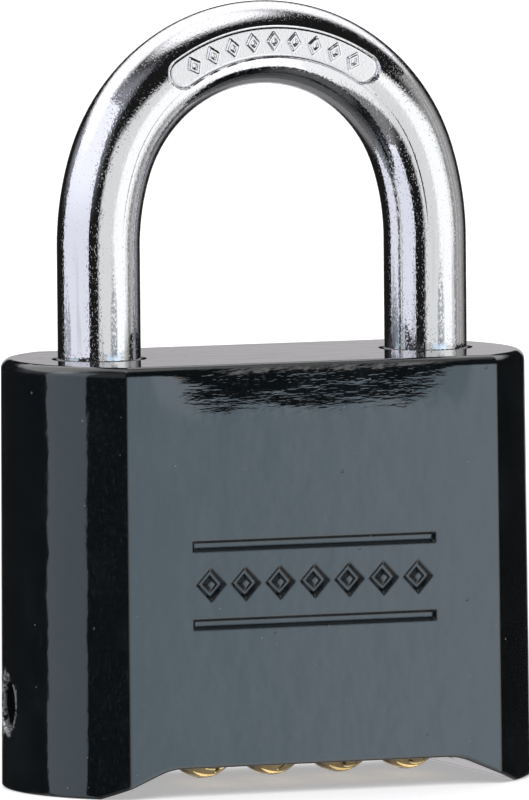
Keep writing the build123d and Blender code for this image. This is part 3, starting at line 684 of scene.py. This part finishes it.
def bar_line(along, sizes, heel_end):
    """Middle line of the shackle at distances along it: up the heel, over three tangent arcs, down
    the toe. Gives X, Z, the angle of the outward normal, the middle of the crown's arc and the
    distances at which the arcs start and end."""
    arch_start = bar_high.z - bar_radius - arch_height(sizes)
    side_x = sizes.shoulder_radius - leg_x
    gap = sizes.shoulder_radius - sizes.crown_radius
    rise = sqrt(gap**2 - side_x**2)
    lean = atan2(rise, side_x)
    heel = arch_start - heel_end
    shoulder = sizes.shoulder_radius * lean
    crown = sizes.crown_radius * (pi - 2 * lean)
    marks = np.cumsum([heel, shoulder, crown, shoulder])
    heel_part, left, top, right = (along < mark for mark in marks)
    turn = np.select(
        [heel_part, left, top, right],
        [pi + 0 * along,
         pi - (along - marks[0]) / sizes.shoulder_radius,
         pi - lean - (along - marks[1]) / sizes.crown_radius,
         lean - (along - marks[2]) / sizes.shoulder_radius],
        0 * along)
    centre_x = np.select([heel_part, left, top, right], [0.0, side_x, 0.0, -side_x], 0.0)
    centre_z = np.where(left & ~heel_part | right & ~top, arch_start, arch_start + rise)
    radius = np.where(top & ~left, sizes.crown_radius, sizes.shoulder_radius)
    x = centre_x + radius * np.cos(turn)
    z = centre_z + radius * np.sin(turn)
    down = along - marks[3]
    toe_part = ~right
    x = np.select([heel_part, toe_part], [-leg_x + 0 * x, leg_x + 0 * x], x)
    z = np.select([heel_part, toe_part], [heel_end + along, arch_start - down], z)
    return x, z, turn, arch_start + rise, marks


def arch_height(sizes):
    """Height of the arch's middle line above the place where the legs stop being straight."""
    gap = sizes.shoulder_radius - sizes.crown_radius
    side_x = sizes.shoulder_radius - leg_x
    return sizes.crown_radius + sqrt(gap**2 - side_x**2)


def press_panel(x, y, z, crown_z, sizes):
    """Depth to press the front of the bar: the flat of a panel bent round the arch, a fine line
    inside its rim, and a row of lozenges left standing with a dimple in each."""
    across = np.hypot(x, z - crown_z) - sizes.panel_radius
    round_arch = np.arctan2(x, z - crown_z) * sizes.panel_radius
    half_length = sizes.panel_radius * sizes.panel_half_angle
    past_end = np.maximum(np.abs(round_arch) - half_length, 0)
    inside = sizes.panel_width / 2 - np.hypot(past_end, across)
    flat = -bar_radius + sizes.panel_depth
    floor = np.maximum(y, flat)
    line = np.exp(-((inside - 0.24 * mm) / (0.085 * mm)) ** 2) * 0.10 * mm
    step = 2 * half_length / (sizes.stud_count + 0.2)
    nearest = np.round(round_arch / step)
    nearest = np.clip(nearest, -(sizes.stud_count // 2), sizes.stud_count // 2)
    width, height = 0.74 * mm, 1.02 * mm
    lozenge = 1 - np.abs(round_arch - nearest * step) / width - np.abs(across) / height
    reach = width * height / hypot(width, height)
    stud = smooth_step(lozenge * reach / (0.14 * mm))
    dimple = smooth_step((lozenge - 0.52) * reach / (0.12 * mm))
    relief = floor + line - sizes.stud_rise * (stud - 0.8 * dimple)
    share = smooth_step(inside / (0.13 * mm)) * (y < 0)
    return y + share * (relief - y)


def make_shackle(sizes):
    """Round section carried along the bar's middle line. The profile gives distance along the line
    and radius: spring hole, heel, turned neck, leg, arch, leg and chamfered toe. The angle round
    the section is even at the back and fine at the front, where the panel is pressed."""
    heel_end = bar_low.z
    *_, marks = bar_line(np.zeros(1), sizes, heel_end)
    end = marks[3] + (bar_high.z - bar_radius - arch_height(sizes)) - toe_end
    neck_low, neck_high = neck_bottom - heel_end, neck_top - heel_end
    hole_depth, hole_radius = spring_hole_top - heel_end, spring_hole_radius
    ease, chamfer, full = 0.15 * mm, toe_chamfer, bar_radius
    neck_rows, leg_rows, toe_rows, panel_row = 12, 42, 56, 0.08 * mm
    hole = [(hole_depth, 0), (hole_depth, hole_radius), (hole_depth / 2, hole_radius),
            (ease, hole_radius), (0, hole_radius + ease)]
    heel = [(0, full - ease), (ease, full), (neck_low - ease, full), (neck_low, full - ease),
            (neck_low, neck_radius + ease), (neck_low + ease, neck_radius)]
    neck = [(s, neck_radius) for s in np.linspace(neck_low + 2 * ease, neck_high - 2 * ease,
                                           neck_rows)]
    step = [(neck_high - ease, neck_radius), (neck_high, neck_radius + ease),
            (neck_high, full - ease), (neck_high + ease, full)]
    panel_reach = sizes.crown_radius * (sizes.panel_half_angle + 0.14)
    top = (marks[1] + marks[2]) / 2
    first, last = top - panel_reach, top + panel_reach
    leg = [(s, full) for s in np.linspace(neck_high + 2 * ease, first, leg_rows)]
    panel = [(s, full) for s in np.arange(first, last, panel_row)[1:]]
    toe = [(s, full) for s in np.linspace(last, end - chamfer, toe_rows)]
    tip = [(end - 0.04 * mm, full - chamfer + 0.04 * mm), (end, full - chamfer - 0.06 * mm), (end, 0)]
    profile = np.array(hole + heel + neck + step + leg + panel + toe + tip, float)

    front = radians(34)
    fine = np.linspace(-front, front, 77)
    coarse = np.linspace(front, 2 * pi - front, 58)[1:-1]
    around = np.concatenate([fine, coarse])
    along, radius = profile[:, 0:1], profile[:, 1:2]
    x, z, turn, crown_z, _ = bar_line(along, sizes, heel_end)
    out = radius * np.sin(around)
    y = -radius * np.cos(around)
    px = x + out * np.cos(turn)
    pz = z + out * np.sin(turn)
    on_bar = (radius > full - 1e-6) & (z > crown_z)
    py = np.where(on_bar, press_panel(px, y, pz, crown_z, sizes), y)

    # faint forging line from the panel's inner corners down the front of each shoulder
    faded = smooth_step((pz - 50 * mm) / (8 * mm)) * past_panel(px, pz, crown_z, sizes)
    seam = np.exp(-((out + 1.15 * mm) / (0.07 * mm)) ** 2) * 0.035 * mm * faded
    py = py + np.where(radius > full - 1e-6, seam * (y < 0), 0)

    # notch for the latch, cut into the inner side of the toe
    inner = leg_x - full
    deepest = inner + notch_depth
    floor_x = np.interp(pz, [notch_foot, notch_bottom, notch_top - 0.02 * mm, notch_top],
                        [inner, deepest, deepest, inner])
    toe_leg = (px > 0) & (pz < notch_top) & (pz > notch_foot) & (along > marks[3])
    px = np.where(toe_leg, np.maximum(px, floor_x), px)
    return surface("shackle_bar", np.stack([px, py, pz], axis=-1))


def past_panel(x, z, crown_z, sizes):
    """1 on the shoulders past the ends of the panel, 0 beside the panel."""
    turn = np.abs(np.arctan2(x, z - crown_z))
    return smooth_step((turn - sizes.panel_half_angle - 0.03) / 0.05)


# ---------------------------------------------------------------- dials

# strokes of the numerals in a box one unit wide and high: a straight stroke is its two ends, an
# arc is its middle, its two radii and the angles in degrees where it starts and stops
NUMERALS = {
    0: [("arc", 0.5, 0.68, 0.42, 0.32, 0, 180), ("arc", 0.5, 0.32, 0.42, 0.32, 180, 360),
        ("line", 0.08, 0.32, 0.08, 0.68), ("line", 0.92, 0.32, 0.92, 0.68)],
    1: [("line", 0.55, 0.0, 0.55, 1.0), ("line", 0.55, 1.0, 0.22, 0.76)],
    2: [("arc", 0.5, 0.72, 0.40, 0.28, -28, 175), ("line", 0.86, 0.6, 0.1, 0.0),
        ("line", 0.1, 0.0, 0.94, 0.0)],
    3: [("arc", 0.48, 0.76, 0.38, 0.24, -90, 160), ("arc", 0.48, 0.27, 0.44, 0.27, -160, 90)],
    4: [("line", 0.68, 0.0, 0.68, 1.0), ("line", 0.68, 1.0, 0.05, 0.3), ("line", 0.05, 0.3, 0.98, 0.3)],
    5: [("line", 0.86, 1.0, 0.2, 1.0), ("line", 0.2, 1.0, 0.14, 0.56),
        ("arc", 0.48, 0.32, 0.43, 0.32, -150, 138)],
    6: [("arc", 0.5, 0.31, 0.41, 0.31, 0, 360), ("arc", 0.98, 0.35, 0.89, 0.66, 108, 180)],
    7: [("line", 0.06, 1.0, 0.92, 1.0), ("line", 0.92, 1.0, 0.36, 0.0)],
    8: [("arc", 0.5, 0.76, 0.35, 0.24, 0, 360), ("arc", 0.5, 0.26, 0.42, 0.26, 0, 360)],
    9: [("arc", 0.5, 0.69, 0.41, 0.31, 0, 360), ("arc", 0.02, 0.65, 0.89, 0.66, -72, 0)],
}


def stroke_points(stroke, width, height):
    """Ends of the short straight pieces that follow a stroke, at its real size."""
    if stroke[0] == "line":
        points = np.array([stroke[1:3], stroke[3:5]], float)
    else:
        _, x, y, rx, ry, start, stop = stroke
        t = np.radians(np.linspace(start, stop, 15))
        points = np.stack([x + rx * np.cos(t), y + ry * np.sin(t)], axis=-1)
    return (points - 0.5) * (width, height)


def distance_to_numeral(u, v, number, width, height):
    """Distance from points to the nearest stroke of a numeral centred on the origin."""
    nearest = np.full(u.shape, 1.0)
    for stroke in NUMERALS[number]:
        points = stroke_points(stroke, width, height)
        for (ax, ay), (bx, by) in zip(points[:-1], points[1:]):
            dx, dy = bx - ax, by - ay
            share = np.clip(((u - ax) * dx + (v - ay) * dy) / (dx * dx + dy * dy), 0, 1)
            nearest = np.minimum(nearest, np.hypot(u - ax - share * dx, v - ay - share * dy))
    return nearest


def make_dial(number, sizes):
    """Ring about the spindle: a closed profile of X and radius, turned through a circle. The rim is
    crowned, V grooves part the ten lands, key slots cut the bore, and a numeral is engraved in the middle
    of each land. Gives the mesh; its shade attribute is 1 in the dark numerals and carries painted shade
    in the V grooves and on the faces and bore."""
    low, high = dial_boxes[number - 1]
    middle_x, half = (low.x + high.x) / 2, (high.x - low.x) / 2
    axis_z = low.z + rim_radius
    ease, rim_rows, face_rows, turns = 0.12 * mm, 52, 7, 640
    sag = rim_radius - rim_edge_radius
    arc = (half**2 + sag**2) / (2 * sag)
    rim_x = np.linspace(-half + ease, half - ease, rim_rows)
    rim_r = rim_radius - arc + np.sqrt(arc**2 - rim_x**2)
    face = np.linspace(rim_edge_radius - ease, dial_bore + ease, face_rows)
    profile_x = np.concatenate([rim_x, half + 0 * face, [half - ease, -half + ease], -half + 0 * face])
    profile_r = np.concatenate([rim_r, face, [dial_bore, dial_bore], face[::-1]])
    row = np.arange(len(profile_x))[:, None]
    on_rim = row < rim_rows
    on_bore = (row == rim_rows + face_rows) | (row == rim_rows + face_rows + 1)

    angle = np.linspace(0, 2 * pi, turns, endpoint=False)[None, :]
    x, radius = profile_x[:, None], profile_r[:, None] + 0 * angle
    pitch = 2 * pi / digits
    land = np.round(angle / pitch)
    off_land = angle - land * pitch
    off_groove = pitch / 2 - np.abs(off_land)
    slope = rim_groove_slope
    wedge = slope * rim_groove_radius / (slope * np.cos(off_groove) - np.sin(off_groove))
    depth = radius - wedge
    soft = 0.06 * mm
    cut = 0.5 * (depth + np.sqrt(depth**2 + soft**2)) - soft / 2
    outer = radius > rim_edge_radius - 0.1 * mm
    radius = np.where(outer, radius - np.maximum(cut, 0), radius)

    # numerals stand upright, with the front of the lock at the top, when seen from below
    # painted shade: darker down the V grooves between the lands
    shade = smooth_step(cut / (0.6 * mm)) * outer * 0.55
    rim_wide = profile_x[:rim_rows, None]
    around = off_land * rim_radius
    for k in range(digits):
        digit = (k + number * 3) % digits
        here = (land % digits) == k
        distance = distance_to_numeral(rim_wide + 0 * angle, around + 0 * rim_wide, digit,
                                       sizes.numeral_width, sizes.numeral_height)
        groove = smooth_step((sizes.stroke - distance) / (0.12 * mm) + 0.5) * here
        radius[:rim_rows] -= sizes.engraving * groove
        shade[:rim_rows] = np.maximum(shade[:rim_rows], groove)
    slot_floor = sqrt(key_slot_radius**2 - key_slot_half_width**2)
    in_slot = np.abs(np.sin(off_land)) * dial_bore < key_slot_half_width
    radius = np.where(on_bore & in_slot, slot_floor, radius)
    # painted shade on the side faces and the bore, where the dials stand against each other and the
    # spindle
    shade = np.maximum(shade, np.where(on_rim, 0.0, 0.65))
    y = -radius * np.sin(angle)
    z = axis_z - radius * np.cos(angle)
    grid = np.stack([middle_x + x + 0 * angle, y, z], axis=-1)
    mesh = surface(f"dial_ring_{number}", grid, closed_rows=True)
    shades = mesh.attributes.new("shade", "FLOAT", "POINT")
    shades.data.foreach_set("value", shade.ravel().astype(np.float32))
    return mesh


# ---------------------------------------------------------------- stage

# patches of light on the sky, in degrees of azimuth and elevation: name, left, right, soft edge,
# bottom, top, soft edge, brightness, tint
LIGHT_CARDS = (
    ("front softbox", -20, 68, 8, -80, 14, 9, 0.84, (0.99, 1.0, 0.985)),
    ("brighter part", 21, 60, 7, -80, 14, 9, 0.38, (1.0, 1.0, 0.99)),
    ("back table", 147, 171, 7, -30, 7, 3, 0.60, (1.0, 0.97, 1.0)),
    ("left side", -150, -40, 20, 8, 55, 16, 0.25, (0.96, 0.97, 1.06)),
    ("ground", -190, 190, 4, -120, -32, 14, 0.22, (1.0, 1.0, 1.0)),
)

# upright softboxes that stand square to the middle of their stretch of azimuth, each for the
# bright bar or for all the other pieces: name, left and right azimuth, share of the width that
# fades at each side, bottom and top in metres, brightness, tint, whether it is for the bar
SOFTBOXES = (
    ("bar_softbox", -131, -49, 0.0, -0.9, 1.1, 0.93, (0.95, 0.96, 1.06), True),
    ("case_softbox", -114, -80, 0.0, -0.9, 1.1, 0.78, (0.80, 0.97, 1.12), False),
    ("face_softbox", 0, 40, 0.0, -0.6, 0.3, 0.48, (0.35, 0.9, 1.4), False),
    ("bar_right_fill", 55, 125, 0.37, -1.3, 0.62, 0.36, (1.0, 0.99, 0.97), True),
    ("bar_right_seam", 78.5, 85.5, 0.4, -1.3, 0.62, 0.22, (1.0, 0.97, 0.94), True),
    ("bar_right_edge", 92.5, 98.5, 0.4, -1.3, 0.62, 0.20, (1.0, 0.9, 0.82), True),
)
BOX_DISTANCE = 1.1


def light_card(tree, azimuth, elevation, card):
    """One soft-edged patch of light on the sky, as a grey value."""
    _, left, right, edge, bottom, top, rise, level, _ = card
    middle, half = radians((left + right) / 2), radians((right - left) / 2)
    off = calc(tree, "SUBTRACT", azimuth, middle)
    off = calc(tree, "ABSOLUTE", calc(tree, "WRAP", off, pi, -pi))
    wide = ramp(tree, off, half + radians(edge) / 2, half - radians(edge) / 2)
    low = ramp(tree, elevation, radians(bottom - rise / 2), radians(bottom + rise / 2))
    high = ramp(tree, elevation, radians(top + rise / 2), radians(top - rise / 2))
    patch = calc(tree, "MULTIPLY", calc(tree, "MULTIPLY", wide, low), high)
    return calc(tree, "MULTIPLY", patch, level)


def sum_of(tree, first, second):
    """Two colours added."""
    return put(tree, "ShaderNodeVectorMath", {0: first, 1: second}, operation="ADD").outputs[0]


def make_sky():
    """Studio round the lock: soft patches of light on a dim room, and a plain pale surround for
    what the camera sees directly."""
    world = bpy.data.worlds.new("soft_studio")
    world.use_nodes = True
    tree = world.node_tree
    tree.nodes.clear()
    way = put(tree, "ShaderNodeTexCoord").outputs["Generated"]
    parts = put(tree, "ShaderNodeSeparateXYZ", {"Vector": way}).outputs
    azimuth = calc(tree, "ARCTAN2", parts["X"], calc(tree, "MULTIPLY", parts["Y"], -1.0))
    elevation = calc(tree, "ARCSINE", parts["Z"])
    light = None
    for card in LIGHT_CARDS:
        patch = light_card(tree, azimuth, elevation, card)
        tinted = blend_colours(tree, 1.0, (0, 0, 0), card[-1])
        tinted = put(tree, "ShaderNodeVectorMath", {0: tinted, "Scale": patch}, operation="SCALE")
        light = tinted.outputs[0] if light is None else sum_of(tree, light, tinted.outputs[0])
    # lamp overhead, reaching down behind the lock
    high = ramp(tree, elevation, radians(60), radians(76))
    behind = ramp(tree, parts["Y"], 0.05, 0.35)
    behind = calc(tree, "MULTIPLY", behind, ramp(tree, elevation, radians(20), radians(30)))
    lamp = calc(tree, "MULTIPLY", calc(tree, "MAXIMUM", high, behind), 1.25)
    room = calc(tree, "ADD", lamp, 0.012)
    room_light = put(tree, "ShaderNodeCombineXYZ", {"X": room, "Y": room, "Z": room}).outputs[0]
    total = sum_of(tree, light, room_light)
    studio = put(tree, "ShaderNodeBackground", {"Color": total, "Strength": 1.0})
    surround = put(tree, "ShaderNodeBackground", {"Color": (1.0, 1.0, 1.0, 1), "Strength": 1.0})
    seen = put(tree, "ShaderNodeLightPath").outputs["Is Camera Ray"]
    mix = put(tree, "ShaderNodeMixShader", {0: seen, 1: studio.outputs[0], 2: surround.outputs[0]})
    put(tree, "ShaderNodeOutputWorld", {"Surface": mix.outputs[0]})
    bpy.context.scene.world = world


def make_floor(look):
    """Flat pale floor that glows a little, with a slight mottle; it isn't reflected in the lock."""
    side = look.floor_size / 2
    corners = np.array([(-side, -side, 0), (side, -side, 0), (side, side, 0), (-side, side, 0)])
    mesh = bpy.data.meshes.new("floor")
    mesh.from_pydata(corners - (0, 0, 0.02 * mm), [], [(0, 1, 2, 3)])
    floor = bpy.data.objects.new("floor", mesh)
    bpy.context.scene.collection.objects.link(floor)
    material, tree, shader, place = new_material("pale_floor", Roughness=0.8)
    mottle = noise(tree, place, 40.0, 4.0)
    shade = blend_colours(tree, mottle, look.floor_colour, [c * 0.985 for c in look.floor_colour])
    feed(tree, shader, Base_Color=shade, Emission_Color=shade)
    shader.inputs["Emission Strength"].default_value = look.floor_glow
    # from below the floor is clear, so that the underside of the lock can be looked at
    below = put(tree, "ShaderNodeNewGeometry").outputs["Backfacing"]
    clear = put(tree, "ShaderNodeBsdfTransparent")
    both = put(tree, "ShaderNodeMixShader", {0: below, 1: shader.outputs[0], 2: clear.outputs[0]})
    tree.links.new(both.outputs[0], tree.nodes["Material Output"].inputs["Surface"])
    mesh.materials.append(material)
    floor.visible_glossy = False
    floor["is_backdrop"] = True


def make_day_lamp(look):
    """Soft even light from the front left, which lights the floor but isn't reflected."""
    data = bpy.data.lights.new("even_light", "SUN")
    data.angle = look.daylight_softness
    data.energy = look.daylight
    lamp = bpy.data.objects.new("even_light", data)
    lamp.rotation_euler = Vector((0.35, 0.75, -0.9)).to_track_quat("-Z", "Y").to_euler()
    lamp.visible_glossy = False
    bpy.context.scene.collection.objects.link(lamp)


def make_softbox(name, left, right, fade, bottom, top, level, tint, receivers):
    """Upright lamp that only the given pieces are lit by and reflect, fading at its sides if asked."""
    middle, half = radians((left + right) / 2), radians((right - left) / 2)
    data = bpy.data.lights.new(name, "AREA")
    data.shape = "RECTANGLE"
    data.size = 2 * BOX_DISTANCE * tan(half)
    data.size_y = top - bottom
    data.energy = level * pi * data.size * data.size_y
    data.color = tint
    if fade:
        data.use_nodes = True
        tree = data.node_tree
        place = put(tree, "ShaderNodeNewGeometry").outputs["Parametric"]
        across = put(tree, "ShaderNodeSeparateXYZ", {"Vector": place}).outputs["X"]
        off_middle = calc(tree, "ABSOLUTE", calc(tree, "SUBTRACT", across, 0.5))
        faded = ramp(tree, off_middle, 0.5, 0.5 - fade)
        tree.links.new(faded, tree.nodes["Emission"].inputs["Strength"])
    box = bpy.data.objects.new(name, data)
    box.location = (BOX_DISTANCE * sin(middle), -BOX_DISTANCE * cos(middle), (bottom + top) / 2)
    inward = Vector((-sin(middle), cos(middle), 0))
    box.rotation_euler = inward.to_track_quat("-Z", "Y").to_euler()
    box.visible_camera = False
    bpy.context.scene.collection.objects.link(box)
    lit = bpy.data.collections.new(f"{name}_lights")
    for piece in receivers:
        lit.objects.link(piece)
    box.light_linking.receiver_collection = lit


def make_camera(look):
    """Camera on a sphere round the lock, with a slight roll."""
    a, e = look.view_azimuth, look.view_elevation
    back = Vector((sin(a) * cos(e), -cos(a) * cos(e), sin(e)))
    right = Vector((cos(a), sin(a), 0))
    up = back.cross(right)
    r = look.view_roll
    right, up = right * cos(r) + up * sin(r), up * cos(r) - right * sin(r)
    data = bpy.data.cameras.new("camera")
    data.lens = look.lens
    data.sensor_width = 36
    data.clip_start = 0.02
    data.clip_end = 60
    camera = bpy.data.objects.new("camera", data)
    turn = Matrix((right, up, back)).transposed().to_4x4()
    camera.matrix_world = Matrix.Translation(look.aim + back * look.view_distance) @ turn
    bpy.context.scene.collection.objects.link(camera)
    bpy.context.scene.camera = camera


# ---------------------------------------------------------------- operators


class PADLOCK_OT_effects(bpy.types.Operator):
    """Builds the node groups that several finishes share"""
    bl_idname = "padlock.effects"
    bl_label = "Shared effects"

    def execute(self, context):
        make_peel_group()
        make_specks_group()
        make_scratches_group()
        make_rubbed_group()
        make_stain_group()
        make_turning_group()
        return {"FINISHED"}


class PADLOCK_OT_case(bpy.types.Operator):
    """Finishes the enamelled case and the window plate with soft edges"""
    bl_idname = "padlock.case"
    bl_label = "Case and window plate"

    def execute(self, context):
        look = context.scene.padlock_case
        enamel = make_enamel()
        softened_copy("lock_case", enamel, "enamel", look.soft_edge)
        softened_copy("dial_window_plate", enamel, "plate_steel", look.soft_edge)
        return {"FINISHED"}


class PADLOCK_OT_shackle(bpy.types.Operator):
    """Builds the chromed shackle with its stamped panel"""
    bl_idname = "padlock.shackle"
    bl_label = "Shackle"

    def execute(self, context):
        mesh = make_shackle(context.scene.padlock_shackle)
        place_piece("shackle_bar", mesh, make_chrome(), "shackle", "chrome", "shackle")
        return {"FINISHED"}


class PADLOCK_OT_dials(bpy.types.Operator):
    """Builds the four brass dials with engraved numerals"""
    bl_idname = "padlock.dials"
    bl_label = "Dials"

    def execute(self, context):
        brass = make_aged_brass()
        for number in range(1, dial_count + 1):
            mesh = make_dial(number, context.scene.padlock_dials)
            place_piece(f"dial_ring_{number}", mesh, brass, f"wheel_{number}", "aged_brass",
                        f"dial_{number}")
        return {"FINISHED"}


# slot, name, colour, colour where it is stained, roughness, share stained, stretch of the grain
METALS = (
    ("hub_brass", "turned_brass", (0.80, 0.60, 0.30), (0.34, 0.20, 0.08), 0.24, 0.4),
    ("zinc_steel", "zinc_plated_steel", (0.60, 0.61, 0.62), (0.36, 0.34, 0.28), 0.3, 0.45),
    ("spring_steel", "spring_steel", (0.28, 0.29, 0.32), (0.12, 0.09, 0.07), 0.3, 0.4),
    ("cam_steel", "machined_steel", (0.52, 0.52, 0.53), (0.22, 0.17, 0.12), 0.26, 0.4, (0.2, 1, 1)),
)


class PADLOCK_OT_works(bpy.types.Operator):
    """Gives the hubs, spindle, springs, pins, plates and screws their metals"""
    bl_idname = "padlock.works"
    bl_label = "Works"

    def execute(self, context):
        metals = {slot: make_machined(*finish) for slot, *finish in METALS}
        for part in frame["record"]["subparts"]:
            if part["material_slot"] in metals:
                mesh = frame["nodes"][part["node"]].data
                mesh.materials.clear()
                mesh.materials.append(metals[part["material_slot"]])
        return {"FINISHED"}


class PADLOCK_OT_stage(bpy.types.Operator):
    """Sets the pale floor, the soft studio light and the camera"""
    bl_idname = "padlock.stage"
    bl_label = "Stage"

    def execute(self, context):
        look = context.scene.padlock_stage
        make_sky()
        make_floor(look)
        make_day_lamp(look)
        bar = [piece for piece in context.scene.objects if piece.name == "shackle_bar"]
        others = [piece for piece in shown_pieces() if piece not in bar]
        for *box, for_bar in SOFTBOXES:
            make_softbox(*box, bar if for_bar else others)
        make_camera(look)
        context.scene.view_settings.view_transform = "Standard"
        return {"FINISHED"}


STEPS = (PADLOCK_OT_effects, PADLOCK_OT_case, PADLOCK_OT_shackle, PADLOCK_OT_dials,
         PADLOCK_OT_works, PADLOCK_OT_stage)
SETTINGS = {"padlock_shackle": ShackleSizes, "padlock_dials": DialSizes, "padlock_case": CaseLook,
            "padlock_stage": StageLook}


class PADLOCK_PT_panel(bpy.types.Panel):
    """Steps that finish the padlock, with their sizes and colours"""
    bl_idname = "PADLOCK_PT_panel"
    bl_label = "Padlock"
    bl_space_type = "VIEW_3D"
    bl_region_type = "UI"
    bl_category = "Padlock"

    def draw(self, context):
        layout = self.layout
        for step in STEPS:
            layout.operator(step.bl_idname)
        for name, group in SETTINGS.items():
            box = layout.box()
            for field in group.__annotations__:
                box.prop(getattr(context.scene, name), field)


def register():
    for group in SETTINGS.values():
        bpy.utils.register_class(group)
    for name, group in SETTINGS.items():
        setattr(bpy.types.Scene, name, bpy.props.PointerProperty(type=group))
    for step in STEPS:
        bpy.utils.register_class(step)
    bpy.utils.register_class(PADLOCK_PT_panel)


def unregister():
    bpy.utils.unregister_class(PADLOCK_PT_panel)
    for step in reversed(STEPS):
        bpy.utils.unregister_class(step)
    for name, group in SETTINGS.items():
        delattr(bpy.types.Scene, name)
        bpy.utils.unregister_class(group)


def main():
    register()
    for step in STEPS:
        area, action = step.bl_idname.split(".")
        getattr(getattr(bpy.ops, area), action)()


if __name__ == "__main__":
    main()
